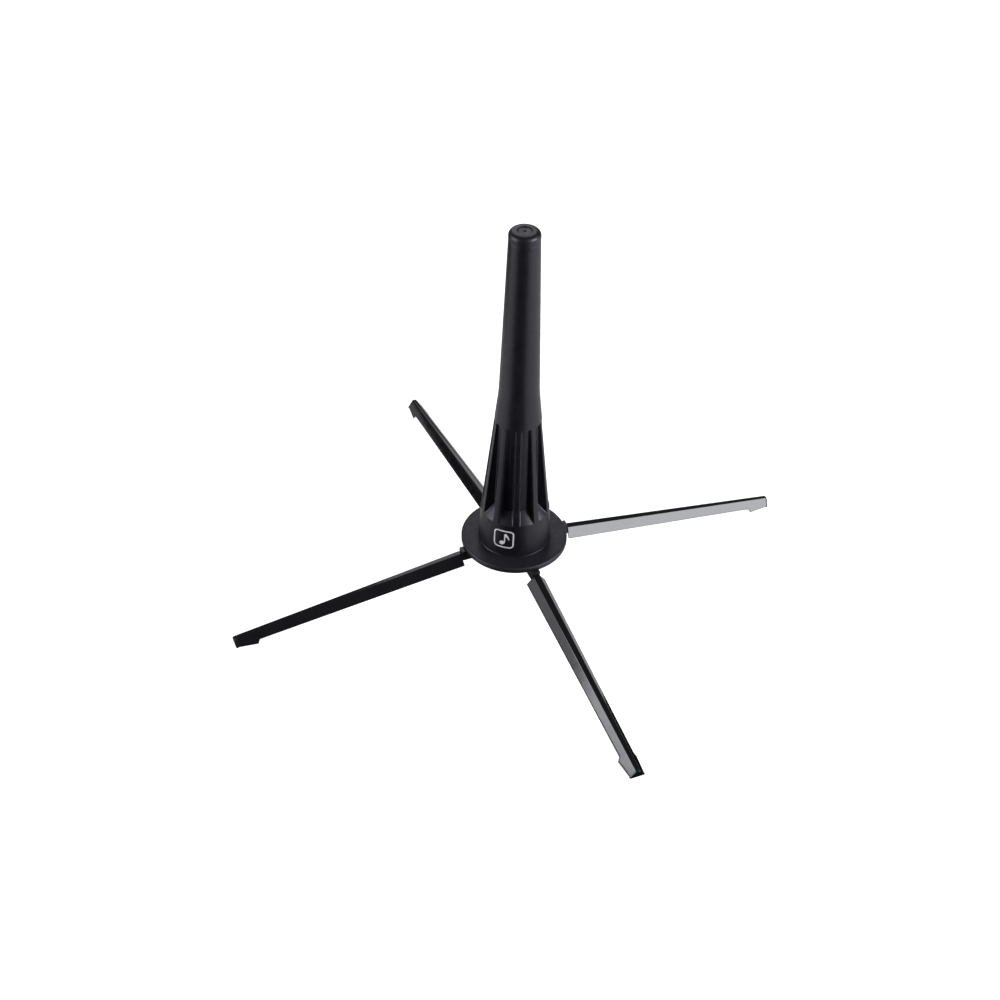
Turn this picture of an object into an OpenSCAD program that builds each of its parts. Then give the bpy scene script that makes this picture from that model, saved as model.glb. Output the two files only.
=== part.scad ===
// Four-legged trumpet stand: a hollow ribbed peg on a round flange, with four
// sheet-steel channel legs that fold down about pins in a hub under the flange.
// Origin: on the floor, under the centre of the peg. Legs lie along +X, +Y, -X and -Y.

/* [Whole stand] */
// Height from the floor to the tip of the peg
stand_h = 258.6; // [230:0.2:320]
// Distance from the centre to the end of each leg
leg_reach = 189; // [155:0.5:230]
// Height of the flange's top face above the floor
flange_top = 32; // [30:0.5:40]

/* [Peg] */
// Diameter of the peg just under the shoulder of its tip
tip_d = 18.9; // [15:0.1:20.5]
// Diameter where the slow taper ends and the skirt begins to flare
kink_d = 24.9; // [23:0.1:30]
// Diameter of the skirt at the top of the plain collar
collar_top_d = 43.4; // [41.5:0.1:48]
// Diameter of the collar where it stands on the flange
collar_d = 46.6; // [45:0.1:54]
// Wall thickness of the hollow peg
peg_wall = 1.8; // [1.2:0.1:2.4]
// Slope of the ledges at the foot of the pockets, in degrees
ledge_angle = 45; // [40:1:48]
// Number of ribs around the skirt
rib_n = 10; // [6:1:12]
// Width of a rib at its lower end
rib_w_low = 4.2; // [3:0.1:5.5]
// Width of a rib at its upper end
rib_w_high = 3; // [2:0.1:4]
// Turn of the first rib away from the +X leg, in degrees
rib_turn = -3; // [-18:1:18]

/* [Flange] */
// Diameter of the flange
flange_d = 68; // [62:0.5:80]
// Height of the flange's turned-down rim
rim_h = 3.8; // [3:0.1:6]
// Thickness of the flange's plate
plate_t = 2.1; // [1.8:0.1:2.6]
// Outside diameter of the spigot that the peg screws onto
spigot_d = 35.6; // [33:0.1:37]
// Height of the spigot
spigot_h = 11; // [8:0.5:14]

/* [Hub and hinges] */
// Diameter of the hub
hub_d = 30; // [28:0.5:34]
// Distance from the centre to each hinge pin
pin_r = 9.5; // [9.2:0.1:10.5]
// Diameter of a hinge pin
pin_d = 3; // [2:0.1:3.4]
// Length of a hinge pin
pin_len = 12.4; // [10:0.2:13]
// Width of a leg arm
arm_w = 5; // [4:0.1:5.4]
// Height of a leg arm
arm_h = 7.4; // [6.4:0.1:7.6]

/* [Legs] */
// Half the width of the channel's flat top at its inner end
web_half_in = 1.9; // [1.7:0.05:2.4]
// Half the width of the channel's flat top at its outer end
web_half_out = 1.2; // [1.15:0.05:1.6]
// Depth of the channel at its inner end
channel_d_in = 6.6; // [6:0.1:7.2]
// Depth of the channel where the foot begins
channel_d_out = 5.2; // [4.8:0.1:5.5]
// Thickness of the sheet steel
sheet_t = 1; // [0.7:0.05:1.1]
// Slope of the channel's sides below the horizontal, in degrees
flank_angle = 54.5; // [48:0.5:58]
// Height of the leg's top face above the floor at its outer end
tip_z = 5.2; // [4.8:0.1:6]
// Length of the foot at the end of the leg
foot_len = 14.5; // [12:0.5:17]

/* [Hidden] */
$fn = 96;

play = 0.05;             // running clearance, measured on the radius
gap = 0.3;               // clearance between parts that pass each other
leg_count = 4;
eps = 0.01;
wide = 100;              // larger than any cut needs

// Peg: heights are measured up from the flange's top face.
peg_h = stand_h - flange_top;
cap_h = 6;               // height of the cap's visible part
kink_h = 0.508 * peg_h;
rib_top_h = 0.418 * peg_h;
ledge_top_h = 0.139 * peg_h;
collar_h = 0.115 * peg_h;
shoulder_h = 0.96 * peg_h;
shoulder_r = 3;
cap_dish_r = 4.4;        // shallow round recess in the cap's top
cap_dish_d = 0.5;
cap_dimple_r = 0.8;
cap_plug_len = 8;        // part of the cap that sits inside the peg
mouth_chamfer = 0.5;
socket_h = spigot_h + 1;

// Flange, hub and hinges.
flange_r = flange_d / 2;
rim_w = 2.4;
rim_round = 1;
plate_under = flange_top - plate_t;
arm_top = plate_under - gap;
eye_r = arm_h / 2 + 0.2; // the hinge eye stands a little proud of the arm
pin_z = arm_top - eye_r;
hub_r = hub_d / 2;
hub_bottom = pin_z - eye_r - 0.6;
hub_h = plate_under - hub_bottom;
slot_w = arm_w + 2 * gap;
hub_core = pin_r - eye_r - 0.6;   // the slots stop this far from the centre
locator_r = 1.5;
locator_h = 1.2;
locator_at = 11;

// Hub fasteners: an M4 pan-head screw, a washer and a nut.
screw_r = 2;
head_r = 3.3;
head_h = 2.4;
head_recess = 3;
socket_af = 2.5;
nut_af = 7;
nut_h = 3.2;
washer_r = 4.5;
washer_t = 0.8;
screw_past_nut = 1;

// Legs: u runs outwards along the channel, v points up out of its top face.
channel_r0 = flange_r + 3.4;      // radius of the channel's inner end
channel_z0 = arm_top - 2.4;       // height of its top face there
leg_angle = atan((channel_z0 - tip_z) / (leg_reach - channel_r0));
leg_len = (leg_reach - channel_r0) / cos(leg_angle);
nose_len = 1.5;                   // rounded end of the foot insert
nose_r = 1.2;                     // radius of its top edge and of its two corners
channel_len = leg_len - nose_len;
taper_angle = atan((web_half_in - web_half_out) / channel_len);
bend_r = 1.5;                     // outside radius of the two bends
bend_steps = 6;
foot_start = leg_len - foot_len;
foot_lip = 0.15;                  // the steel stops this far above the floor
tongue_len = 20;                  // part of the arm inside the channel
arm_end = channel_r0 - 0.6;       // the arm steps down here to enter the channel

function core_r(h) = tip_d / 2 + (kink_d - tip_d) / 2 * (shoulder_h - h) / (shoulder_h - kink_h);
function arc_points(cx, cy, r, from, to, n) =
    [for (i = [0 : n]) [cx + r * cos(from + (to - from) * i / n), cy + r * sin(from + (to - from) * i / n)]];

// ---------------------------------------------------------------- peg

// Outline of the peg from its mouth up to the joint with the cap, hollow inside.
module peg_shell() {
    top = peg_h - cap_h;
    rotate_extrude()
        polygon([
            [collar_d / 2 - mouth_chamfer, 0],
            [collar_d / 2, mouth_chamfer],
            [collar_top_d / 2, collar_h],
            [kink_d / 2, kink_h],
            [core_r(top), top],
            [core_r(top) - peg_wall, top],
            [core_r(ledge_top_h) - peg_wall, ledge_top_h],
            [spigot_d / 2 + play, socket_h + 3],
            [spigot_d / 2 + play, 0]
        ]);
}

// Ring of material that the pockets are cut from, outside the tapered core.
module pocket_ring() {
    rotate_extrude()
        polygon([
            [core_r(rib_top_h), rib_top_h],
            [collar_d, rib_top_h],
            [collar_d, ledge_top_h - (collar_d - core_r(ledge_top_h)) * tan(ledge_angle)],
            [core_r(ledge_top_h), ledge_top_h]
        ]);
}

// Tapered planks that leave the ribs standing between the pockets.
module rib_planks() {
    for (i = [0 : rib_n - 1])
        rotate([0, 0, rib_turn + i * 360 / rib_n])
            rotate([90, 0, 90])
                linear_extrude(height = collar_d)
                    polygon([
                        [-rib_w_low / 2, collar_h - 3],
                        [rib_w_low / 2, collar_h - 3],
                        [rib_w_high / 2, rib_top_h + 1],
                        [-rib_w_high / 2, rib_top_h + 1]
                    ]);
}

module peg() {
    color("#26272b")
        translate([0, 0, flange_top])
            difference() {
                peg_shell();
                difference() {
                    pocket_ring();
                    rib_planks();
                }
            }
}

// Cap that closes the peg's tip: rounded shoulder, dished top, plug inside the tube.
module peg_cap() {
    joint = peg_h - cap_h;
    plug_r = core_r(joint) - peg_wall - play;
    shoulder = arc_points(core_r(shoulder_h) - shoulder_r, peg_h - shoulder_r, shoulder_r, 0, 90, 8);
    color("#2a2b2f")
        translate([0, 0, flange_top])
            difference() {
                rotate_extrude()
                    polygon(concat(
                        [[0, joint - cap_plug_len], [plug_r - 1, joint - cap_plug_len]],
                        [[plug_r - 0.4, joint], [core_r(joint), joint]],
                        shoulder,
                        [[0, peg_h]]
                    ));
                translate([0, 0, peg_h - cap_dish_d])
                    cylinder(r1 = cap_dish_r - 0.4, r2 = cap_dish_r, h = cap_dish_d + eps);
                translate([0, 0, peg_h - 2 * cap_dish_d])
                    cylinder(r = cap_dimple_r, h = cap_dish_d + 2 * eps);
            }
}

// ---------------------------------------------------------------- flange and hub

module flange_profile() {
    rim_bottom = flange_top - rim_h;
    rotate_extrude()
        polygon(concat(
            [[0, plate_under], [flange_r - rim_w, plate_under], [flange_r - rim_w + 0.3, rim_bottom]],
            arc_points(flange_r - rim_round / 2, rim_bottom + rim_round / 2, rim_round / 2, -90, 0, 4),
            arc_points(flange_r - rim_round, flange_top - rim_round, rim_round, 0, 90, 6),
            [[0, flange_top]]
        ));
}

module spigot() {
    lead = 0.8;
    translate([0, 0, flange_top - eps])
        rotate_extrude()
            polygon([
                [spigot_d / 2 - 3, 0],
                [spigot_d / 2, 0],
                [spigot_d / 2, spigot_h - lead],
                [spigot_d / 2 - lead, spigot_h],
                [spigot_d / 2 - 3, spigot_h]
            ]);
}

module base_flange() {
    color("#2d2e32")
        difference() {
            union() {
                flange_profile();
                spigot();
            }
            translate([0, 0, plate_under - 1])
                cylinder(r = screw_r + play, h = plate_t + 2);
            for (i = [0 : leg_count - 1])
                rotate([0, 0, i * 360 / leg_count]) {
                    translate([flange_r - rim_w - 1, -slot_w / 2, plate_under - rim_h])
                        cube([rim_w + 2, slot_w, rim_h]);
                    rotate([0, 0, 45])
                        translate([locator_at, 0, plate_under - eps])
                            cylinder(r = locator_r + play, h = locator_h + 0.2, $fn = 48);
                }
        }
}

// Bore for one hinge pin: closed at one end, open at the side of the hub.
module pin_bore() {
    translate([pin_r, -pin_len / 2, pin_z])
        rotate([-90, 0, 0])
            cylinder(d = pin_d + play, h = pin_len / 2 + hub_r, $fn = 48);
}

module leg_hub() {
    color("#303135")
        difference() {
            union() {
                translate([0, 0, hub_bottom])
                    cylinder(r = hub_r, h = hub_h);
                for (i = [0 : leg_count - 1])
                    rotate([0, 0, 45 + i * 360 / leg_count])
                        translate([locator_at, 0, plate_under - eps])
                            cylinder(r = locator_r, h = locator_h, $fn = 48);
            }
            for (i = [0 : leg_count - 1])
                rotate([0, 0, i * 360 / leg_count]) {
                    translate([hub_core, -slot_w / 2, hub_bottom - 1])
                        cube([hub_r, slot_w, hub_h + 1]);
                    pin_bore();
                }
            translate([0, 0, hub_bottom - 1])
                cylinder(r = screw_r + play, h = hub_h + 2, $fn = 48);
            translate([0, 0, hub_bottom - 1])
                cylinder(r = head_r + 0.2, h = head_recess + 1, $fn = 48);
        }
}

// ---------------------------------------------------------------- hub fasteners

module hub_screw() {
    head_z = hub_bottom + head_recess;
    shank = flange_top + washer_t + nut_h + screw_past_nut - head_z;
    color("#b9bcc0")
        difference() {
            union() {
                translate([0, 0, head_z - head_h])
                    cylinder(r = head_r, h = head_h, $fn = 48);
                translate([0, 0, head_z - eps])
                    cylinder(r = screw_r, h = shank + eps, $fn = 48);
            }
            translate([0, 0, head_z - head_h - eps])
                cylinder(d = socket_af / cos(30), h = 1.5, $fn = 6);
        }
}

module hub_washer() {
    color("#b9bcc0")
        translate([0, 0, flange_top])
            difference() {
                cylinder(r = washer_r, h = washer_t, $fn = 48);
                translate([0, 0, -1])
                    cylinder(r = screw_r + 0.15, h = washer_t + 2, $fn = 48);
            }
}

module hub_nut() {
    color("#b9bcc0")
        translate([0, 0, flange_top + washer_t])
            difference() {
                cylinder(d = nut_af / cos(30), h = nut_h, $fn = 6);
                translate([0, 0, -1])
                    cylinder(r = screw_r + play, h = nut_h + 2, $fn = 48);
            }
}

module hinge_pin() {
    color("#c4c6c9")
        translate([pin_r, -pin_len / 2, pin_z])
            rotate([-90, 0, 0])
                cylinder(d = pin_d, h = pin_len, $fn = 48);
}

// ---------------------------------------------------------------- legs

// Half of the channel's cross-section at a top half-width w: flat top, bend, sloping side.
function outer_edge(w, inset) =
    let (r = bend_r - inset, cx = w - bend_r * tan(flank_angle / 2))
    arc_points(cx, -bend_r, r, 90, 90 - flank_angle, bend_steps);
function flank_end(w, inset, depth) =
    let (r = bend_r - inset, cx = w - bend_r * tan(flank_angle / 2),
         x = cx + r * sin(flank_angle), y = -bend_r + r * cos(flank_angle))
    [x + (depth + y) / tan(flank_angle), -depth];
function reversed(p) = [for (i = [len(p) - 1 : -1 : 0]) p[i]];

// Places a shape drawn in (lateral, v) so that it runs outwards along u.
module along_leg(from, length) {
    translate([from, 0, 0])
        rotate([90, 0, 90])
            linear_extrude(height = length)
                children();
}

module half_channel(side) {
    depth = channel_d_in + 2;
    rotate([0, 0, -side * taper_angle])
        along_leg(0, channel_len + 1)
            scale([side, 1])
                polygon(concat(
                    [[-0.4, 0]],
                    outer_edge(web_half_in, 0),
                    [flank_end(web_half_in, 0, depth), flank_end(web_half_in, sheet_t, depth)],
                    reversed(outer_edge(web_half_in, sheet_t)),
                    [[-0.4, -sheet_t]]
                ));
}

// Side view of the channel: it grows shallower outwards, then steps down to the foot.
module channel_side_view() {
    step = 1.2;
    rotate([90, 0, 0])
        translate([0, 0, -wide / 2])
            linear_extrude(height = wide)
                polygon([
                    [0, 1],
                    [0, -channel_d_in],
                    [foot_start - step, -channel_d_out],
                    [foot_start, -channel_d_out - step],
                    [foot_start, -channel_d_in - 4],
                    [channel_len, -channel_d_in - 4],
                    [channel_len, 1]
                ]);
}

module in_leg_frame() {
    translate([channel_r0, 0, channel_z0])
        rotate([0, leg_angle, 0])
            children();
}

module below_floor(lift) {
    translate([0, -wide / 2, lift - wide])
        cube([leg_reach + wide, wide, wide]);
}

module leg_channel() {
    color("#17181a")
        difference() {
            in_leg_frame()
                intersection() {
                    union() {
                        half_channel(1);
                        half_channel(-1);
                    }
                    channel_side_view();
                }
            below_floor(foot_lip);
        }
}

// Section that fills the channel inside, with a little clearance.
module inside_section(w, clearance, depth, half_limit) {
    edge = outer_edge(w - clearance, sheet_t + clearance);
    end = flank_end(w - clearance, sheet_t + clearance, depth);
    intersection() {
        polygon(concat(
            edge,
            [end, [-end[0], end[1]]],
            [for (p = reversed(edge)) [-p[0], p[1]]]
        ));
        translate([-half_limit, -wide])
            square([2 * half_limit, wide]);
    }
}

module leg_arm() {
    web_there = web_half_in - tongue_len * tan(taper_angle);
    tongue_back = 4;
    color("#2a2b2f")
        difference() {
            union() {
                translate([pin_r, arm_w / 2, pin_z])
                    rotate([90, 0, 0])
                        cylinder(r = eye_r, h = arm_w, $fn = 64);
                translate([pin_r, -arm_w / 2, pin_z - arm_h / 2])
                    cube([arm_end - pin_r, arm_w, arm_h]);
                in_leg_frame()
                    along_leg(-tongue_back, tongue_back + tongue_len)
                        inside_section(web_there, play, channel_d_out - 0.1, arm_w / 2);
            }
            translate([pin_r, arm_w, pin_z])
                rotate([90, 0, 0])
                    cylinder(d = pin_d + 2 * play, h = 2 * arm_w, $fn = 48);
        }
}

// Plug in the end of the channel: a rounded nose outside and a pad on the floor.
module nose_section() {
    w = web_half_out;
    edge = outer_edge(w, 0);
    end = flank_end(w, 0, tip_z + 2);
    polygon(concat(
        edge,
        [end, [-end[0], end[1]]],
        [for (p = reversed(edge)) [-p[0], p[1]]]
    ));
}

module nose_side_view() {
    toe = 0.6;
    rotate([90, 0, 0])
        translate([0, 0, -wide / 2])
            linear_extrude(height = wide)
                polygon(concat(
                    [[channel_len - eps, -tip_z - 2], [leg_len - toe, -tip_z - 2], [leg_len, 1 - tip_z]],
                    arc_points(leg_len - nose_r, -nose_r, nose_r, 0, 90, 6),
                    [[channel_len - eps, 0]]
                ));
}

// Plan of the nose: its two corners are rounded where the sides meet the end.
module nose_plan_view() {
    half = web_half_out + tip_z / tan(flank_angle);
    translate([0, 0, -wide / 2])
        linear_extrude(height = wide)
            polygon(concat(
                [[channel_len - eps, -half]],
                arc_points(leg_len - nose_r, nose_r - half, nose_r, -90, 0, 6),
                arc_points(leg_len - nose_r, half - nose_r, nose_r, 0, 90, 6),
                [[channel_len - eps, half]]
            ));
}

module foot_insert() {
    plug_len = foot_len - nose_len - 1;
    color("#111214")
        difference() {
            in_leg_frame()
                union() {
                    intersection() {
                        along_leg(channel_len, nose_len)
                            nose_section();
                        nose_side_view();
                        nose_plan_view();
                    }
                    along_leg(channel_len - plug_len, plug_len + eps)
                        inside_section(web_half_out, play, tip_z + 2, wide);
                }
            below_floor(0);
        }
}

module on_leg(n) {
    rotate([0, 0, (n - 1) * 360 / leg_count])
        children();
}

peg();
peg_cap();
base_flange();
leg_hub();
hub_screw();
hub_washer();
hub_nut();
on_leg(1) hinge_pin();  // hinge_pin_1
on_leg(2) hinge_pin();  // hinge_pin_2
on_leg(3) hinge_pin();  // hinge_pin_3
on_leg(4) hinge_pin();  // hinge_pin_4
on_leg(1) leg_arm();  // leg_arm_1
on_leg(2) leg_arm();  // leg_arm_2
on_leg(3) leg_arm();  // leg_arm_3
on_leg(4) leg_arm();  // leg_arm_4
on_leg(1) leg_channel();  // leg_channel_1
on_leg(2) leg_channel();  // leg_channel_2
on_leg(3) leg_channel();  // leg_channel_3
on_leg(4) leg_channel();  // leg_channel_4
on_leg(1) foot_insert();  // foot_insert_1
on_leg(2) foot_insert();  // foot_insert_2
on_leg(3) foot_insert();  // foot_insert_3
on_leg(4) foot_insert();  // foot_insert_4
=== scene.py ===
"""Looks of a four-legged trumpet stand: moulded peg and flange, enamelled steel legs."""
import math

import bpy
from mathutils import Matrix, Vector


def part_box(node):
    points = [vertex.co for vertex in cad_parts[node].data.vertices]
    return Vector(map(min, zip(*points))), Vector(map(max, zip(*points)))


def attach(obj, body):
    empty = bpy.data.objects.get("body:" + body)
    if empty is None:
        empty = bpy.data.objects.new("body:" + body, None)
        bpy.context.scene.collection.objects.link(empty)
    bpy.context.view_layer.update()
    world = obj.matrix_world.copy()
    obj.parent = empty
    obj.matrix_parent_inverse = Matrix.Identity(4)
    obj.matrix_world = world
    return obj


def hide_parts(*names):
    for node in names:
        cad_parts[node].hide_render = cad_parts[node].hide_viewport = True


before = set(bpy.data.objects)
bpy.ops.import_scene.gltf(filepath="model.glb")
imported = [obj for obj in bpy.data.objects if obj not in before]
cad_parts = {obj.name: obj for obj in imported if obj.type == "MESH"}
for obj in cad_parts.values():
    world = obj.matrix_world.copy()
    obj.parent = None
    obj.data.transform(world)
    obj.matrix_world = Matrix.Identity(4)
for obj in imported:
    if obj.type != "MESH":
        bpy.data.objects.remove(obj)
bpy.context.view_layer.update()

MM = 0.001
LEGS = (1, 2, 3, 4)


# ------------------------------------------------------------------ sizes from the CAD boxes, in mm

def box_mm(node):
    """The lowest and highest corner of a CAD node."""
    lo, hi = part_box(node)
    return Vector(lo) / MM, Vector(hi) / MM


PEG_LO, PEG_HI = box_mm("peg")
FLANGE_LO, FLANGE_HI = box_mm("base_flange")

FLANGE_TOP = PEG_LO.z
PEG_H = box_mm("peg_cap")[1].z - FLANGE_TOP
COLLAR_R = PEG_HI.x
FLANGE_R = FLANGE_HI.x


# ------------------------------------------------------------------ mesh helpers

SHARP_ANGLE = 40                   # degrees between faces above which an edge is softened


def new_object(name, verts, faces, smooth_angle=38.0):
    """A mesh object from points in mm, shaded smooth where faces meet at less than the angle."""
    mesh = bpy.data.meshes.new(name)
    mesh.from_pydata([Vector(v) * MM for v in verts], [], faces)
    mesh.validate()
    mesh.shade_smooth()
    mesh.set_sharp_from_angle(angle=math.radians(smooth_angle))
    mesh.update()
    obj = bpy.data.objects.new(name, mesh)
    bpy.context.scene.collection.objects.link(obj)
    return obj


def grid_faces(n_rows, n_cols, wrap_rows, wrap_cols, flip=False):
    """Quads over a grid of points, joined end to end along the directions that wrap."""
    faces = []
    for i in range(n_rows if wrap_rows else n_rows - 1):
        for j in range(n_cols if wrap_cols else n_cols - 1):
            i2, j2 = (i + 1) % n_rows, (j + 1) % n_cols
            quad = (i * n_cols + j, i * n_cols + j2, i2 * n_cols + j2, i2 * n_cols + j)
            faces.append(quad[::-1] if flip else quad)
    return faces


def rounded(points, steps=5):
    """Polyline of (x, y, radius) with its corners turned into arcs of that radius."""
    out = []
    last = len(points) - 1
    for k, (x, y, r) in enumerate(points):
        if r <= 0 or k in (0, last):
            out.append((x, y))
            continue
        p, a, b = Vector((x, y)), Vector(points[k - 1][:2]), Vector(points[k + 1][:2])
        u, v = (a - p).normalized(), (b - p).normalized()
        half = math.acos(max(-1.0, min(1.0, u.dot(v)))) / 2
        reach = r / math.tan(half)
        centre = p + (u + v).normalized() * (r / math.sin(half))
        s, e = p + u * reach - centre, p + v * reach - centre
        turn = math.atan2(s.x * e.y - s.y * e.x, s.dot(e))
        for i in range(steps + 1):
            t = turn * i / steps
            x_turned = s.x * math.cos(t) - s.y * math.sin(t)
            y_turned = s.x * math.sin(t) + s.y * math.cos(t)
            q = centre + Vector((x_turned, y_turned))
            out.append((q.x, q.y))
    return out


def spaced(points, step):
    """The polyline with points added so that none are further apart than step."""
    out = [points[0]]
    for a, b in zip(points, points[1:]):
        n = max(1, math.ceil(math.dist(a, b) / step))
        out += [
            (a[0] + (b[0] - a[0]) * i / n, a[1] + (b[1] - a[1]) * i / n)
            for i in range(1, n + 1)
        ]
    return out


def frange(start, stop, step):
    """Even steps from start to stop, both included, each about as long as step."""
    n = max(1, round((stop - start) / step))
    return [start + (stop - start) * i / n for i in range(n + 1)]


def lathe(name, profile, segments=128):
    """Turns a profile of (radius, height) about the z axis; radius 0 at both ends closes it."""
    tops = [k for k, (r, _) in enumerate(profile) if r < 1e-6]
    ring_rows = [p for k, p in enumerate(profile) if k not in tops]
    verts = [
        (r * math.cos(2 * math.pi * j / segments), r * math.sin(2 * math.pi * j / segments), z)
        for r, z in ring_rows for j in range(segments)
    ]
    faces = grid_faces(len(ring_rows), segments, not tops, True)
    for k in tops:
        at_start = k == 0
        row = 0 if at_start else len(ring_rows) - 1
        verts.append((0, 0, profile[k][1]))
        for j in range(segments):
            a, b = row * segments + j, row * segments + (j + 1) % segments
            faces.append((len(verts) - 1, b, a) if at_start else (len(verts) - 1, a, b))
    return new_object(name, verts, faces)


def soften(obj, width_mm):
    """Rounds the sharp edges, as moulding, plating or enamel does."""
    bevel = obj.modifiers.new("edges", "BEVEL")
    bevel.width = width_mm * MM
    bevel.segments = 2
    bevel.limit_method = "ANGLE"
    bevel.angle_limit = math.radians(SHARP_ANGLE)
    bevel.harden_normals = False
    even_normals(obj)


def even_normals(obj):
    """Keeps large faces flat-looking beside small rounded ones."""
    normals = obj.modifiers.new("normals", "WEIGHTED_NORMAL")
    normals.keep_sharp = True


# ------------------------------------------------------------------ materials

NOISE_LOW, NOISE_HIGH = 0.3, 0.7   # the part of a noise's range that is used
PLASTIC_TINT = (0.86, 0.86, 1.0, 1)
ENAMEL_TINT = (0.93, 0.95, 1.0, 1)
POLYMER_IOR = 1.5


class Nodes:
    """Short names for building one material."""

    def __init__(self, name):
        self.mat = bpy.data.materials.new(name)
        self.mat.use_nodes = True
        self.tree = self.mat.node_tree
        self.shader = next(n for n in self.tree.nodes if n.type == "BSDF_PRINCIPLED")
        self.coords = self.tree.nodes.new("ShaderNodeTexCoord").outputs["Object"]

    def link(self, a, b):
        self.tree.links.new(a, b)

    def noise(self, size_mm, detail, stretch=None):
        n = self.tree.nodes.new("ShaderNodeTexNoise")
        n.inputs["Scale"].default_value = 1 / (size_mm * MM)
        n.inputs["Detail"].default_value = detail
        if stretch is None:
            self.link(self.coords, n.inputs["Vector"])
        else:
            m = self.tree.nodes.new("ShaderNodeMapping")
            m.inputs["Scale"].default_value = stretch
            self.link(self.coords, m.inputs["Vector"])
            self.link(m.outputs["Vector"], n.inputs["Vector"])
        return n.outputs["Fac"]

    def ramp(self, fac, low, high, start=NOISE_LOW, end=NOISE_HIGH):
        r = self.tree.nodes.new("ShaderNodeMapRange")
        r.inputs["From Min"].default_value = start
        r.inputs["From Max"].default_value = end
        r.inputs["To Min"].default_value = low
        r.inputs["To Max"].default_value = high
        self.link(fac, r.inputs["Value"])
        return r.outputs["Result"]

    def colours(self, fac, low, high):
        r = self.tree.nodes.new("ShaderNodeValToRGB")
        r.color_ramp.elements[0].position = NOISE_LOW
        r.color_ramp.elements[1].position = NOISE_HIGH
        r.color_ramp.elements[0].color = (*low, 1)
        r.color_ramp.elements[1].color = (*high, 1)
        self.link(fac, r.inputs["Fac"])
        return r.outputs["Color"]

    def bump(self, height, depth_mm, under=None):
        b = self.tree.nodes.new("ShaderNodeBump")
        b.inputs["Distance"].default_value = depth_mm * MM
        self.link(height, b.inputs["Height"])
        if under is not None:
            self.link(under, b.inputs["Normal"])
        return b.outputs["Normal"]


def moulded_plastic(name, dark, light, rough=(0.36, 0.46), grain=0.022):
    """Satin black moulding: fine spark-eroded grain over a faint flow mottle."""
    n = Nodes(name)
    n.link(n.colours(n.noise(9.0, 3.0), dark, light), n.shader.inputs["Base Color"])
    n.link(n.ramp(n.noise(3.5, 2.0), *rough), n.shader.inputs["Roughness"])
    coarse = n.bump(n.noise(2.6, 1.0), grain * 0.6)
    n.link(n.bump(n.noise(0.45, 1.0), grain, under=coarse), n.shader.inputs["Normal"])
    n.shader.inputs["IOR"].default_value = POLYMER_IOR
    n.shader.inputs["Specular Tint"].default_value = PLASTIC_TINT
    return n.mat


def gloss_enamel(name, dark, light, rough=(0.075, 0.125), peel=0.006):
    """Stoved gloss enamel on sheet steel: slight orange peel and a few duller patches."""
    n = Nodes(name)
    n.link(n.colours(n.noise(14.0, 3.0), dark, light), n.shader.inputs["Base Color"])
    n.link(n.ramp(n.noise(6.0, 3.0), *rough), n.shader.inputs["Roughness"])
    wave = n.bump(n.noise(5.0, 1.0), peel * 1.4)
    n.link(n.bump(n.noise(1.1, 1.0), peel, under=wave), n.shader.inputs["Normal"])
    n.shader.inputs["IOR"].default_value = POLYMER_IOR
    n.shader.inputs["Specular Tint"].default_value = ENAMEL_TINT
    return n.mat


def plated_steel(name):
    """Bright zinc plating with turning marks and a slight haze."""
    n = Nodes(name)
    shade = n.colours(n.noise(2.5, 3.0), (0.50, 0.51, 0.53), (0.66, 0.67, 0.69))
    n.link(shade, n.shader.inputs["Base Color"])
    n.link(n.ramp(n.noise(1.2, 3.0), 0.22, 0.38), n.shader.inputs["Roughness"])
    n.link(n.bump(n.noise(0.25, 1.0, stretch=(1, 1, 5)), 0.006), n.shader.inputs["Normal"])
    n.shader.inputs["Metallic"].default_value = 1.0
    return n.mat


def pad_print(name):
    """Pale grey printed ink, a little uneven where the grain of the plastic takes it."""
    n = Nodes(name)
    shade = n.colours(n.noise(0.5, 2.0), (0.50, 0.50, 0.52), (0.72, 0.72, 0.74))
    n.link(shade, n.shader.inputs["Base Color"])
    n.link(n.ramp(n.noise(1.5, 1.0), 0.42, 0.55), n.shader.inputs["Roughness"])
    n.link(n.bump(n.noise(0.45, 1.0), 0.01), n.shader.inputs["Normal"])
    return n.mat


PEG_PLASTIC = moulded_plastic(
    "peg_moulding", (0.0038, 0.0038, 0.0068), (0.0062, 0.0062, 0.0100), (0.34, 0.44))
CAP_PLASTIC = moulded_plastic(
    "cap_moulding", (0.0040, 0.0040, 0.0070), (0.0064, 0.0064, 0.0102), (0.36, 0.46))
FLANGE_PLASTIC = moulded_plastic(
    "flange_moulding", (0.0080, 0.0078, 0.0115), (0.0125, 0.0120, 0.0165), (0.42, 0.52))
HUB_PLASTIC = moulded_plastic(
    "hub_moulding", (0.012, 0.012, 0.014), (0.017, 0.017, 0.02), (0.4, 0.5), 0.015)
ARM_PLASTIC = moulded_plastic(
    "arm_moulding", (0.008, 0.008, 0.0095), (0.012, 0.012, 0.014), (0.3, 0.4), 0.012)
FOOT_PLASTIC = moulded_plastic(
    "foot_moulding", (0.003, 0.005, 0.0055), (0.0045, 0.0075, 0.008), (0.09, 0.14), 0.003)
LEG_ENAMEL = gloss_enamel("leg_enamel", (0.0040, 0.0038, 0.0046), (0.0060, 0.0056, 0.0068))
STEEL = plated_steel("zinc_plate")
PRINT = pad_print("printed_mark")


def paint(obj, material):
    """Gives a piece its one material."""
    obj.data.materials.clear()
    obj.data.materials.append(material)


# ------------------------------------------------------------------ peg
# Heights (h) are in mm above the flange, radii in mm.

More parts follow.
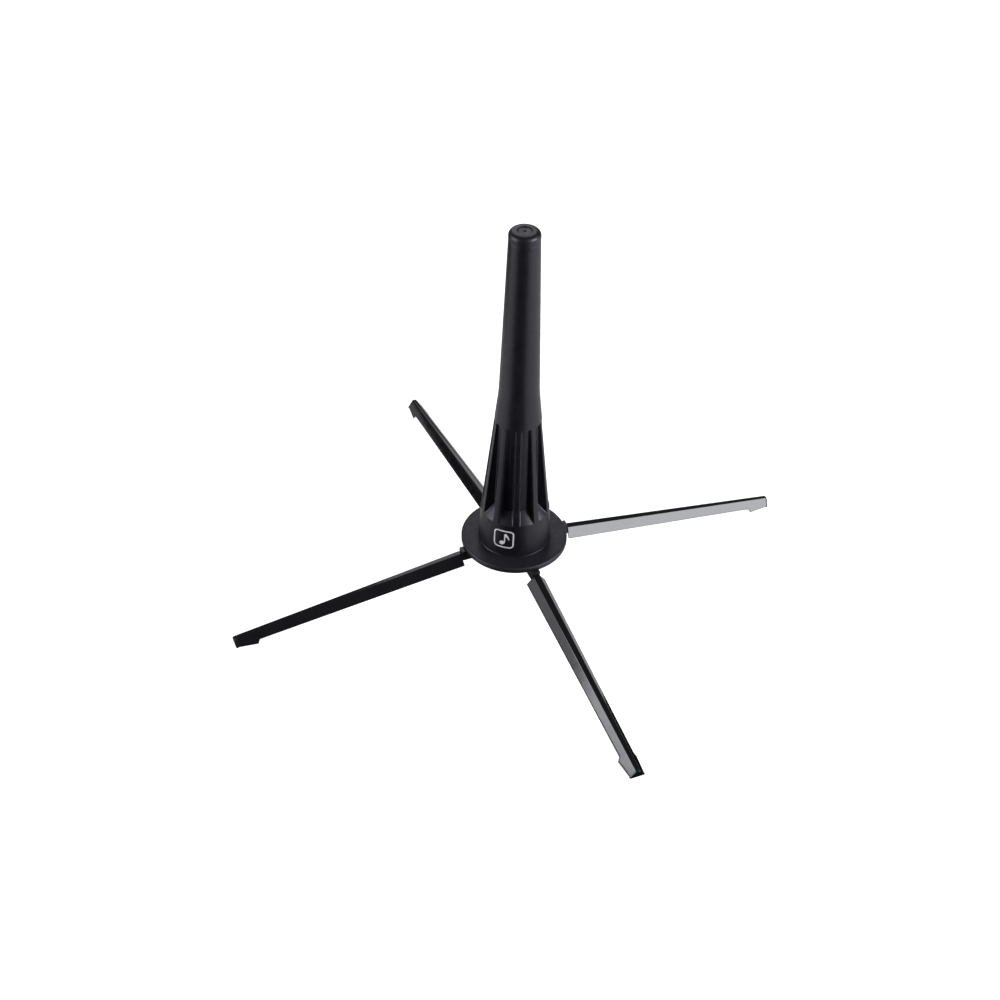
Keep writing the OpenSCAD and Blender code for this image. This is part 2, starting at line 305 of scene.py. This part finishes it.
KINK_H = 0.508 * PEG_H
RIB_TOP_H = 0.418 * PEG_H
LEDGE_TOP_H = 0.139 * PEG_H
COLLAR_H = 0.115 * PEG_H
SHOULDER_H = 0.96 * PEG_H
TIP_R, KINK_R, COLLAR_TOP_R = 9.45, 12.45, 21.7
KINK_BLEND, COLLAR_BLEND = 5.0, 1.2
PEG_WALL = 1.8
LEDGE_SLOPE = math.tan(math.radians(45))
LEDGE_FILLET, LEDGE_ROOT_R = 1.1, 0.9
ROOF_RISE, ROOF_ROOT_R, ROOF_FILLET = 0.9, 0.7, 0.5
RIB_N, RIB_TURN = 10, math.radians(-3)
RIB_HALF_LOW, RIB_HALF_HIGH = 2.1, 1.5
RIB_EDGE_R, RIB_ROOT_R, RIB_DRAFT = 0.5, 0.7, 0.14
MOUTH_LIP = ((0.3, 0.0), (0, 0.08), (0, 0.2), (0.09, 0.38), (0.24, 0.55), (0.28, 0.8))
MOUTH_TOP_H = 2.6
SEAM_CHAMFER, SEAM_INSET = 0.04, 0.005

SOCKET_R, SOCKET_TOP_H, SOCKET_LOW_H = 17.85, 15.0, 7.0
SOCKET_CHAMFER = 0.4

CAP_H, PLUG_H, PLUG_CLEAR = 6.0, 8.0, 0.05
SHOULDER_R = 3.0
DISH_R, DISH_RIM, DISH_DEPTH = 3.9, 0.5, 0.5
DIMPLE_R, DIMPLE_DEPTH = 0.8, 0.5


def core_r(h):
    """Radius of the tapered core, which also is the bottom of the pockets."""
    return TIP_R + (KINK_R - TIP_R) * (SHOULDER_H - h) / (SHOULDER_H - KINK_H)


def soft_corner(h, at, low, high, blend):
    """Two straight lines through a corner at height at, joined by a parabola over +-blend."""
    a, b = low(h), high(h)
    if h <= at - blend:
        return a
    if h >= at + blend:
        return b
    slope_a, slope_b = (low(at) - low(at - 1)), (high(at + 1) - high(at))
    t = h - (at - blend)
    return low(at - blend) + slope_a * t + (slope_b - slope_a) * t * t / (4 * blend)


def skirt_r(h):
    """Radius of the flared skirt over its ribs."""
    return COLLAR_TOP_R + (KINK_R - COLLAR_TOP_R) * (h - COLLAR_H) / (KINK_H - COLLAR_H)


def collar_r(h):
    """Radius of the plain collar."""
    return COLLAR_R + (COLLAR_TOP_R - COLLAR_R) * h / COLLAR_H


def outer_r(h):
    """Radius of the peg's outline, with both of its corners blended."""
    if h > (COLLAR_H + KINK_H) / 2:
        return soft_corner(h, KINK_H, skirt_r, core_r, KINK_BLEND)
    return soft_corner(h, COLLAR_H, collar_r, skirt_r, COLLAR_BLEND)


def rib_half(h):
    """Half of a rib's width: ribs get narrower upwards."""
    low = COLLAR_H - 3
    t = min(1.0, max(0.0, (h - low) / (RIB_TOP_H + 1 - low)))
    return RIB_HALF_LOW + (RIB_HALF_HIGH - RIB_HALF_LOW) * t


def ledge_edge():
    """Height and radius at which a pocket's sloping ledge meets the outside of the skirt."""
    inner = core_r(LEDGE_TOP_H)
    out = COLLAR_TOP_R
    for _ in range(12):
        out = outer_r(LEDGE_TOP_H - (out - inner) * LEDGE_SLOPE)
    return LEDGE_TOP_H - (out - inner) * LEDGE_SLOPE, out


def pocket_profile():
    """(radius, height) up the middle of a pocket, from the mouth's edge to the cap."""
    ledge_low, ledge_out = ledge_edge()
    below, above = ledge_low - 1.2, RIB_TOP_H + 1.0
    pocket = rounded([
        (outer_r(below), below, 0),
        (ledge_out, ledge_low, LEDGE_FILLET),
        (core_r(LEDGE_TOP_H), LEDGE_TOP_H, LEDGE_ROOT_R),
        (core_r(RIB_TOP_H), RIB_TOP_H - ROOF_RISE, ROOF_ROOT_R),
        (skirt_r(RIB_TOP_H), RIB_TOP_H, ROOF_FILLET),
        (skirt_r(above), above, 0),
    ], 4)
    top = PEG_HI.z - FLANGE_TOP
    lower = [(COLLAR_R - inset, h) for inset, h in MOUTH_LIP]
    lower += [(outer_r(h), h) for h in frange(MOUTH_TOP_H, ledge_low - 1.6, 2.0)]
    upper = [(outer_r(h), h) for h in frange(RIB_TOP_H + 1.6, KINK_H + 6, 1.2)]
    upper += [(outer_r(h), h) for h in frange(KINK_H + 8, top - 0.6, 4.0)]
    edge = [(outer_r(top) - SEAM_INSET, top - SEAM_CHAMFER), (outer_r(top) - SEAM_CHAMFER, top)]
    return lower + spaced(pocket, 2.2) + upper + edge


def rib_columns(h, r_pocket):
    """Points (angle, radius) over one rib and half of the pocket on each side of it."""
    r_out = max(outer_r(h), r_pocket) if ledge_edge()[0] - 1 < h < RIB_TOP_H + 2 else r_pocket
    depth = max(0.0, r_out - r_pocket)
    edge, root, draft = RIB_EDGE_R, RIB_ROOT_R, RIB_DRAFT
    half = rib_half(h)
    k_edge = min(edge / depth, 0.45) if depth > 0.01 else 0.3
    k_root = min(root / depth, 0.45) if depth > 0.01 else 0.3
    path = [((half - edge) * i / 3, 0.0) for i in range(3)]
    for i in range(5):
        t = math.pi / 2 * i / 4
        path.append((half - edge + edge * math.sin(t), k_edge * (1 - math.cos(t))))
    path += [(half + draft * i / 3, k_edge + (1 - k_root - k_edge) * i / 3) for i in (1, 2)]
    for i in range(5):
        t = math.pi / 2 * i / 4
        path.append((half + draft + root * (1 - math.cos(t)), 1 - k_root + k_root * math.sin(t)))
    side = []
    for y, k in path:
        x = (1 - k) * math.sqrt(r_out ** 2 - y ** 2) + k * math.sqrt(r_pocket ** 2 - y ** 2)
        side.append((math.atan2(y, x), math.hypot(x, y)))
    start, end = side[-1][0], math.pi / RIB_N
    side += [(start + (end - start) * i / 5, r_pocket) for i in range(1, 6)]
    return [(-a, r) for a, r in side[:0:-1]][1:] + side


def make_peg():
    """Ribbed outside, plain tapered inside and the socket that sits over the spigot."""
    outer = pocket_profile()
    top = outer[-1][1]
    inner = [
        (core_r(top) - PEG_WALL + 0.2, top), (core_r(top) - PEG_WALL, top - 0.2),
        *[(core_r(h) - PEG_WALL, h) for h in frange(top - 5, LEDGE_TOP_H, -20)],
        *[(SOCKET_R, h) for h in (SOCKET_TOP_H, SOCKET_LOW_H, SOCKET_CHAMFER)],
        (SOCKET_R + SOCKET_CHAMFER, 0.0),
    ]
    verts = []
    for r, h in outer:
        for i in range(RIB_N):
            turn = RIB_TURN + i * 2 * math.pi / RIB_N
            verts += [
                (rad * math.cos(a + turn), rad * math.sin(a + turn), FLANGE_TOP + h)
                for a, rad in rib_columns(h, r)
            ]
    n_cols = len(verts) // len(outer)
    rim = verts[-n_cols:]
    for r, h in inner:
        for x, y, _ in rim:
            a = math.atan2(y, x)
            verts.append((r * math.cos(a), r * math.sin(a), FLANGE_TOP + h))
    n_rows = len(outer) + len(inner)
    faces = grid_faces(n_rows, n_cols, True, True)
    peg = new_object("peg_moulding", verts, faces, smooth_angle=50.0)
    even_normals(peg)
    paint(peg, PEG_PLASTIC)
    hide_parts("peg")
    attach(peg, "peg")


def make_cap():
    """Rounded shoulder, a dished top with a small dimple, and the plug inside the tube."""
    joint, top = PEG_H - CAP_H, PEG_H
    plug = core_r(joint) - PEG_WALL - PLUG_CLEAR
    plug_end = joint - PLUG_H
    dish = top - DISH_DEPTH
    dimple = dish - DIMPLE_DEPTH
    outline = rounded([
        (0, plug_end, 0), (plug - 1, plug_end, 0.5), (plug - 0.4, joint - 0.2, 0.2),
        (core_r(joint) - SEAM_CHAMFER, joint, 0),
        (core_r(joint) - SEAM_INSET, joint + SEAM_CHAMFER, 0),
        (core_r(SHOULDER_H), top, SHOULDER_R),
        (DISH_R + DISH_RIM, top, 0.5), (DISH_R, dish, 0.4),
        (DIMPLE_R, dish, 0.2), (DIMPLE_R - 0.05, dimple, 0.2), (0, dimple, 0),
    ], 8)
    cap = lathe("peg_tip", [(r, FLANGE_TOP + h) for r, h in spaced(outline, 1.6)])
    even_normals(cap)
    paint(cap, CAP_PLASTIC)
    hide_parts("peg_cap")
    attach(cap, "peg")


# ------------------------------------------------------------------ printed mark on the collar

MARK_AZIMUTH = math.radians(-131)
MARK_H = 13.8
INK_UNDER, INK_PROUD = -0.08, 0.05
FRAME_HALF, FRAME_CORNER_R, FRAME_LINE = 6.3, 2.4, 0.9
STEM_X, STEM_LOW, STEM_H, STEM_LINE = 0.75, -2.6, 6.6, 0.75
HEAD_X, HEAD_Y, HEAD_HALF, HEAD_W = -0.9, -2.9, 1.9, 2.8
HEAD_TILT = math.radians(22)
FLAG_OUT, FLAG_DROP, FLAG_CURL = 2.6, 4.4, math.pi * 0.55
FLAG_W_ROOT, FLAG_W_TIP = 1.5, 0.35


def on_collar(s, t, lift):
    """Point at s mm round and t mm up from the mark's centre, lift mm off the collar."""
    h = MARK_H + t
    r = collar_r(h)
    a = MARK_AZIMUTH + s / r
    return ((r + lift) * math.cos(a), (r + lift) * math.sin(a), FLANGE_TOP + h)


def ink_strip(line, width, closed):
    """Corner points of a stroke along a line: one (left, right) pair for each point of it."""
    n = len(line)
    pairs = []
    for i, p in enumerate(line):
        a = line[(i - 1) % n] if closed or i else p
        b = line[(i + 1) % n] if closed or i < n - 1 else p
        d = Vector(b) - Vector(a)
        d.normalize()
        w = width(i / (n - 1)) / 2 if callable(width) else width / 2
        pairs.append(((p[0] - d.y * w, p[1] + d.x * w), (p[0] + d.y * w, p[1] - d.x * w)))
    return pairs


def ink_solid(verts, faces, pairs, closed):
    """Adds a stroke as a closed skin of ink just proud of the collar."""
    base = len(verts)
    for left, right in pairs:
        corners = (left, INK_UNDER), (left, INK_PROUD), (right, INK_PROUD), (right, INK_UNDER)
        verts += [on_collar(s, t, lift) for (s, t), lift in corners]
    n = len(pairs)
    faces += [tuple(base + k for k in f) for f in grid_faces(n, 4, closed, True)]
    if not closed:
        faces.append((base + 3, base + 2, base + 1, base))
        faces.append(tuple(base + 4 * (n - 1) + k for k in range(4)))


def make_mark():
    """Rounded frame with an eighth note in it."""
    frame_line = []
    middle = FRAME_HALF - FRAME_CORNER_R
    for cx, cy, start in ((1, 1, 0), (-1, 1, 90), (-1, -1, 180), (1, -1, 270)):
        for i in range(8):
            a = math.radians(start + 90 * i / 7)
            frame_line.append((
                cx * middle + FRAME_CORNER_R * math.cos(a),
                cy * middle + FRAME_CORNER_R * math.sin(a),
            ))
    frame_line = spaced([*frame_line, frame_line[0]], 1.0)[:-1]
    stem = [(STEM_X, STEM_LOW + STEM_H * i / 6) for i in range(7)]
    head = [
        (HEAD_X + s * math.cos(HEAD_TILT), HEAD_Y + s * math.sin(HEAD_TILT))
        for s in frange(-HEAD_HALF, HEAD_HALF, 0.3)
    ]
    n = len(head) - 1
    flag = [
        (STEM_X + FLAG_OUT * math.sin(FLAG_CURL * k / n), STEM_LOW + STEM_H - FLAG_DROP * k / n)
        for k in range(n + 1)
    ]

    def head_width(k):
        return HEAD_W * math.sqrt(max(0.02, 1 - (2 * k - 1) ** 2))

    def flag_width(k):
        return FLAG_W_ROOT * (1 - k) + FLAG_W_TIP

    verts, faces = [], []
    ink_solid(verts, faces, ink_strip(frame_line, FRAME_LINE, True), True)
    for line, width in ((stem, STEM_LINE), (head, head_width), (flag, flag_width)):
        ink_solid(verts, faces, ink_strip(line, width, False), False)
    mark = new_object("collar_mark", verts, faces)
    paint(mark, PRINT)
    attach(mark, "peg")


# ------------------------------------------------------------------ flange

PLATE_UNDER = 29.9
RIM_W, RIM_EDGE_R, RIM_STRAIGHT_H = 2.4, 1.1, 1.6
NOTCH_HALF, NOTCH_WALL = 2.8, 0.05
NOTCH_SWEEP_R = 8.0                # inside this radius a notch keeps the angle it has here
SCREW_HOLE_R = 2.05
SPIGOT_IN_R, SPIGOT_OUT_R, SPIGOT_CHAMFER = 14.8, 17.8, 0.8
WALL_STEPS = 30


def flange_section():
    """(radius, height, height in a notch) round the flange's section."""
    z, low, spigot_top = FLANGE_TOP, FLANGE_LO.z, FLANGE_HI.z
    inner = FLANGE_R - RIM_W
    straight = low + RIM_STRAIGHT_H
    top = rounded([
        (SCREW_HOLE_R, PLATE_UNDER, 0), (SCREW_HOLE_R, z, 0),
        (SPIGOT_IN_R, z, 0.4), (SPIGOT_IN_R, spigot_top, 0.3),
        (SPIGOT_OUT_R - SPIGOT_CHAMFER, spigot_top, 0.2),
        (SPIGOT_OUT_R, spigot_top - SPIGOT_CHAMFER, 0.2), (SPIGOT_OUT_R, z, 0.3),
        (FLANGE_R, z, RIM_EDGE_R), (FLANGE_R, straight, 0),
    ], 6)
    rim = rounded([
        (FLANGE_R, straight, 0), (FLANGE_R, low, 0.5),
        (inner + 0.3, low, 0.3), (inner, PLATE_UNDER, 0),
    ], 4)
    rows = [(r, h, max(h, PLATE_UNDER)) for r, h in spaced(top, 4.0)]
    # in a notch the rim's rows lie just under one another, so that none of them coincide
    rows += [(r, h, PLATE_UNDER + 0.002 * (len(rim) - k)) for k, (r, h) in enumerate(rim[1:-1])]
    under = spaced([(inner, PLATE_UNDER), (SCREW_HOLE_R, PLATE_UNDER)], 4.0)
    return rows + [(r, h, h) for r, h in under[:-1]]


def make_flange():
    """Plate, spigot and turned-down rim, with a notch in the rim over each leg."""
    rows = flange_section()
    verts = []
    for r, h, h_notch in rows:
        notch = math.asin(NOTCH_HALF / max(r, NOTCH_SWEEP_R))
        wall = math.asin((NOTCH_HALF + NOTCH_WALL) / max(r, NOTCH_SWEEP_R))
        rest = math.pi / 2 - 2 * wall
        angles = [(-wall, h)]
        angles += [(a, h_notch) for a in (-notch, -notch / 3, notch / 3, notch)]
        angles += [(wall + rest * i / WALL_STEPS, h) for i in range(WALL_STEPS)]
        for quarter in range(4):
            turn = quarter * math.pi / 2
            verts += [(r * math.cos(a + turn), r * math.sin(a + turn), z) for a, z in angles]
    n_cols = len(verts) // len(rows)
    faces = grid_faces(len(rows), n_cols, True, True)
    flange = new_object("flange_moulding", verts, faces, smooth_angle=50.0)
    even_normals(flange)
    paint(flange, FLANGE_PLASTIC)
    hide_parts("base_flange")
    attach(flange, "base")


# ------------------------------------------------------------------ legs
# Along a leg, u is measured from the channel's root; depths are below its top face.

FLANK = math.radians(54.5)
SHEET, BEND_R, BEND_STEPS = 1.0, 1.5, 6
LIP_OUT_R, LIP_IN_R = 0.3, 0.1
WEB_IN, WEB_OUT = 1.9, 1.2
DEPTH_IN, DEPTH_OUT, STEP = 6.6, 5.2, 1.2
TIP_Z, FOOT_LEN, FOOT_LIP = 5.2, 14.5, 0.15
NOSE_LEN, NOSE_R, NOSE_STEPS = 1.5, 1.2, 8
NOSE_SEAM = 0.05                   # groove where the nose meets the channel's end
NOSE_SHORT, NOSE_SIDE_IN, NOSE_TOP_IN = 0.12, 0.8, 0.97 * NOSE_R
PLUG_CLEAR_SIDE, PLUG_CHAMFER, PLUG_SHORT = 0.05, 0.3, 1
ROOT_R, ROOT_Z = 37.4, 27.2
REACH = 189.0
LEG_ANGLE = math.atan((ROOT_Z - TIP_Z) / (REACH - ROOT_R))
LEG_LEN = (REACH - ROOT_R) / math.cos(LEG_ANGLE)
CHANNEL_LEN = LEG_LEN - NOSE_LEN
FOOT_START = LEG_LEN - FOOT_LEN


def leg_point(leg, u, lateral, v):
    """From the leg's own axes (along, across, up out of its top face) to the object's."""
    x = ROOT_R + u * math.cos(LEG_ANGLE) + v * math.sin(LEG_ANGLE)
    z = ROOT_Z - u * math.sin(LEG_ANGLE) + v * math.cos(LEG_ANGLE)
    a = (leg - 1) * math.pi / 2
    return (x * math.cos(a) - lateral * math.sin(a), x * math.sin(a) + lateral * math.cos(a), z)


def depth_to_height(u, z):
    """How far below the leg's top face the height z lies at u."""
    return (ROOT_Z - u * math.sin(LEG_ANGLE) - z) / math.cos(LEG_ANGLE)


def web_half(u):
    """Half of the flat top's width, to the corner before bending."""
    return WEB_IN + (WEB_OUT - WEB_IN) * u / CHANNEL_LEN


def half_section(w, inset, depth):
    """Half of the bent section at an inset from its outside: bend, then the sloping side."""
    r = BEND_R - inset
    cx = w - BEND_R * math.tan(FLANK / 2)
    turns = [FLANK * i / BEND_STEPS for i in range(BEND_STEPS + 1)]
    pts = [(cx + r * math.sin(a), -BEND_R + r * math.cos(a)) for a in turns]
    x, y = pts[-1]
    for i in (1, 2, 3):
        t = i / 3
        pts.append((x + (depth + y) / math.tan(FLANK) * t, y + (-depth - y) * t))
    return pts


def channel_depth(u):
    """Shallower outwards, then a sloping step down to the foot, which ends level."""
    if u <= FOOT_START - STEP:
        return DEPTH_IN + (DEPTH_OUT - DEPTH_IN) * u / (FOOT_START - STEP)
    if u <= FOOT_START:
        return DEPTH_OUT + (u - FOOT_START + STEP)
    return depth_to_height(u, FOOT_LIP)


def channel_stations():
    """Where along the leg the channel's sections are placed."""
    u = frange(0, FOOT_START - STEP - 0.3, 4.0)
    u += [FOOT_START + du for du in (-STEP, -0.8, -0.4, -0.02, 0.35)]
    return u + frange(FOOT_START + 1.5, CHANNEL_LEN, 1.5)


def round_lip(edge, across, radius):
    """Rounds the sheet's cut edge where one of its faces ends."""
    return edge[:-1] + rounded([(*edge[-2], 0), (*edge[-1], radius), (*across, 0)], 4)[1:-1]


def make_channel(leg):
    """Bent sheet channel with rounded, enamelled edges, deeper again round the foot."""
    verts = []
    stations = channel_stations()
    for u in stations:
        w, depth = web_half(u), channel_depth(u)
        out = half_section(w, 0, depth)
        ins = half_section(w, SHEET, depth)
        out, ins = round_lip(out, ins[-1], LIP_OUT_R), round_lip(ins, out[-1], LIP_IN_R)
        loop = [(-x, y) for x, y in out[::-1]] + [(0, 0)] + out
        loop += ins[::-1] + [(0, -SHEET)] + [(-x, y) for x, y in ins]
        verts += [leg_point(leg, u, x, y) for x, y in loop]
    n_cols = len(loop)
    n_rows = len(stations)
    faces = grid_faces(n_rows, n_cols, False, True)
    half = n_cols // 2
    last = (n_rows - 1) * n_cols
    for k in range(half - 1):
        a, b, c, d = k, k + 1, n_cols - 2 - k, n_cols - 1 - k
        faces.append((d, c, b, a))
        faces.append((last + a, last + b, last + c, last + d))
    channel = new_object(f"leg_channel_skin_{leg}", verts, faces, smooth_angle=30.0)
    soften(channel, 0.08)
    paint(channel, LEG_ENAMEL)
    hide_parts(f"leg_channel_{leg}")
    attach(channel, f"leg_{leg}")


def foot_ring(leg, u, bottom, clear=0.0, top=0.0):
    """Closed section of the foot at u: flat at its bottom, inset by clear, cut off at a top."""
    depth = depth_to_height(u, bottom)
    half = half_section(web_half(min(u, CHANNEL_LEN)), clear, depth)
    half = [(x + max(0.0, y - top) / math.tan(FLANK), min(y, top)) for x, y in half]
    half += [(half[-1][0] * k, -depth) for k in (0.66, 0.33)]
    loop = [(0, min(-clear, top))] + half + [(0, -depth)] + [(-x, y) for x, y in half[::-1]]
    return [leg_point(leg, u, x, y) for x, y in loop]


def nose_rings(leg):
    """The nose outside the channel: its end face has rounded edges above and at both sides."""
    straight = NOSE_LEN - NOSE_R
    rings = [foot_ring(leg, CHANNEL_LEN + 0.02, 0.02, NOSE_SEAM)]
    rings += [foot_ring(leg, CHANNEL_LEN + u, 0.0) for u in (0.07, straight)]
    for i in range(1, NOSE_STEPS + 1):
        t = math.pi / 2 * i / NOSE_STEPS
        fall = 1 - math.cos(t)
        u = CHANNEL_LEN + straight + (NOSE_R - NOSE_SHORT) * math.sin(t)
        rings.append(foot_ring(leg, u, 0.0, NOSE_SIDE_IN * fall, -NOSE_TOP_IN * fall))
    return rings


def make_foot(leg):
    """Plug in the channel's end with a blunt rounded nose and a flat pad on the floor."""
    plug_from = CHANNEL_LEN + NOSE_LEN - FOOT_LEN + PLUG_SHORT
    wall = SHEET + PLUG_CLEAR_SIDE
    rings = [foot_ring(leg, plug_from, PLUG_CHAMFER, wall + PLUG_CHAMFER)]
    rings.append(foot_ring(leg, plug_from + 0.5, 0.0, wall))
    rings += [foot_ring(leg, u, 0.0, wall) for u in frange(plug_from + 2, CHANNEL_LEN - 0.01, 2.0)]
    rings += nose_rings(leg)
    n = len(rings[0])
    verts = [p for ring in rings for p in ring]
    faces = grid_faces(len(rings), n, False, True, flip=True)
    last = (len(rings) - 1) * n
    half = n // 2
    faces += [(0, 1, n - 1), (last, last + n - 1, last + 1)]
    for k in range(1, half - 1):
        a, b, c, d = k, k + 1, n - 1 - k, n - k
        faces.append((a, b, c, d))
        faces.append((last + d, last + c, last + b, last + a))
    faces.append((half - 1, half, half + 1))
    faces.append((last + half + 1, last + half, last + half - 1))
    foot = new_object(f"foot_plug_{leg}", verts, faces, smooth_angle=50.0)
    even_normals(foot)
    paint(foot, FOOT_PLASTIC)
    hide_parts(f"foot_insert_{leg}")
    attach(foot, f"leg_{leg}")


# ------------------------------------------------------------------ CAD nodes that stay

def dress_node(name, material, edge_mm):
    """Material and softened edges for a CAD node that is shown as it is."""
    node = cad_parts[name]
    paint(node, material)
    soften(node, edge_mm)


def dress_cad_nodes():
    """Hub, its screw, washer and nut, the hinge pins and the arms."""
    dress_node("leg_hub", HUB_PLASTIC, 0.2)
    for name in ("hub_screw", "hub_washer", "hub_nut"):
        dress_node(name, STEEL, 0.12)
    for leg in LEGS:
        dress_node(f"hinge_pin_{leg}", STEEL, 0.15)
        dress_node(f"leg_arm_{leg}", ARM_PLASTIC, 0.25)


# ------------------------------------------------------------------ studio

FLOOR_R, FLOOR_Z, FLOOR_SIDES = 4500, -0.03, 96
FLOOR_GLOW = 0.8                   # to the camera only; it lights nothing
CARD_Z = 0.5
WHITE = (1, 1, 1, 1)
SURROUNDINGS = (0.12, 0.121, 0.124, 1)
LAMP_TARGET, LAMP_DISTANCE = Vector((0, 0, 0.06)), 1.7     # metres

CAMERA_AT = (-0.3309, -0.7422, 0.7616)                     # metres
CAMERA_HEADING, CAMERA_PITCH, CAMERA_ROLL = 23.345, 40.818, 1.601
LENS, SENSOR = 61.0, 36.0


def make_floor():
    """A round pale table, far wider than the view."""
    turns = [2 * math.pi * k / FLOOR_SIDES for k in range(FLOOR_SIDES)]
    ring = [(FLOOR_R * math.cos(a), FLOOR_R * math.sin(a), FLOOR_Z) for a in turns]
    floor = new_object("studio_floor", ring, [tuple(range(FLOOR_SIDES))])
    m = Nodes("pale_floor")
    shade = m.colours(m.noise(60.0, 3.0), (0.86, 0.86, 0.865), (0.88, 0.88, 0.885))
    m.link(shade, m.shader.inputs["Base Color"])
    m.shader.inputs["Roughness"].default_value = 0.8
    m.shader.inputs["Specular IOR Level"].default_value = 0.2
    m.shader.inputs["Emission Color"].default_value = WHITE
    path = m.tree.nodes.new("ShaderNodeLightPath")
    glow = m.ramp(path.outputs["Is Camera Ray"], 0.0, FLOOR_GLOW, 0.0, 1.0)
    m.link(glow, m.shader.inputs["Emission Strength"])
    floor.data.materials.append(m.mat)


def make_dark_card(name, azimuth, half_sweep, near, far):
    """A black card just above the table, seen only as a reflection in the stand."""
    sweep = [math.radians(azimuth + half_sweep * k / 3) for k in range(-3, 4)]
    verts = [(r * math.cos(a), r * math.sin(a), CARD_Z) for r in (near, far) for a in sweep]
    card = new_object(name, verts, grid_faces(2, len(sweep), False, False, flip=True))
    n = Nodes("black_card")
    shade = n.colours(n.noise(40.0, 3.0), (0.004, 0.004, 0.004), (0.008, 0.008, 0.008))
    n.link(shade, n.shader.inputs["Base Color"])
    n.shader.inputs["Roughness"].default_value = 0.9
    n.shader.inputs["Specular IOR Level"].default_value = 0.0
    card.data.materials.append(n.mat)
    card.visible_camera = False
    card.visible_diffuse = False
    card.visible_shadow = False


def softbox(name, azimuth, elevation, width, height, radiance):
    """A panel lamp (metres) aimed at the object; azimuth is anticlockwise from +X, from above."""
    a, e = math.radians(azimuth), math.radians(elevation)
    away = Vector((math.cos(a) * math.cos(e), math.sin(a) * math.cos(e), math.sin(e)))
    lamp = bpy.data.lights.new(name, "AREA")
    lamp.shape = "RECTANGLE"
    lamp.size, lamp.size_y = width, height
    lamp.energy = radiance * math.pi * width * height
    obj = bpy.data.objects.new(name, lamp)
    obj.location = LAMP_TARGET + away * LAMP_DISTANCE
    obj.rotation_mode = "QUATERNION"
    obj.rotation_quaternion = away.to_track_quat("Z", "Y")
    obj.visible_camera = False
    bpy.context.scene.collection.objects.link(obj)


def make_lights():
    """Four panels round the stand, and surroundings that are dim grey but white to the camera."""
    softbox("key_right", -44, 25, 1.1, 0.8, 11.0)
    softbox("side_left", 172, 18, 1.1, 0.9, 6.5)
    softbox("side_left_edge", 150.5, 18, 0.21, 0.9, 1.5)
    softbox("back_panel", 74, 35, 0.8, 0.9, 1.8)
    world = bpy.data.worlds.new("studio")
    bpy.context.scene.world = world
    world.use_nodes = True
    tree = world.node_tree
    back = tree.nodes["Background"]
    back.inputs["Color"].default_value = SURROUNDINGS
    pale = tree.nodes.new("ShaderNodeBackground")
    pale.inputs["Color"].default_value = WHITE
    path = tree.nodes.new("ShaderNodeLightPath")
    mix = tree.nodes.new("ShaderNodeMixShader")
    tree.links.new(path.outputs["Is Camera Ray"], mix.inputs["Fac"])
    tree.links.new(back.outputs["Background"], mix.inputs[1])
    tree.links.new(pale.outputs["Background"], mix.inputs[2])
    tree.links.new(mix.outputs["Shader"], tree.nodes["World Output"].inputs["Surface"])


def make_camera():
    """Looks down at 40.8 degrees from the left of leg 4, 1.07 m away."""
    heading, pitch, roll = map(math.radians, (CAMERA_HEADING, CAMERA_PITCH, CAMERA_ROLL))
    level = Vector((math.sin(heading), math.cos(heading), 0))
    forward = level * math.cos(pitch) - Vector((0, 0, math.sin(pitch)))
    right = Vector((math.cos(heading), -math.sin(heading), 0))
    up = right.cross(forward)
    x_axis = right * math.cos(roll) + up * math.sin(roll)
    y_axis = up * math.cos(roll) - right * math.sin(roll)
    data = bpy.data.cameras.new("camera")
    data.sensor_width = SENSOR
    data.lens = LENS
    data.clip_start, data.clip_end = 0.01, 50
    cam = bpy.data.objects.new("camera", data)
    turn = Matrix((x_axis, y_axis, -forward)).transposed().to_4x4()
    cam.matrix_world = Matrix.Translation(CAMERA_AT) @ turn
    bpy.context.scene.collection.objects.link(cam)
    bpy.context.scene.camera = cam


make_camera()
make_lights()
make_floor()
make_dark_card("card_in_front", azimuth=-121, half_sweep=39, near=2, far=1500)
make_dark_card("card_behind", azimuth=128, half_sweep=22, near=330, far=3000)
bpy.context.scene.view_settings.view_transform = "Standard"

make_peg()
make_cap()
make_mark()
make_flange()
for leg in LEGS:
    make_channel(leg)
    make_foot(leg)
dress_cad_nodes()
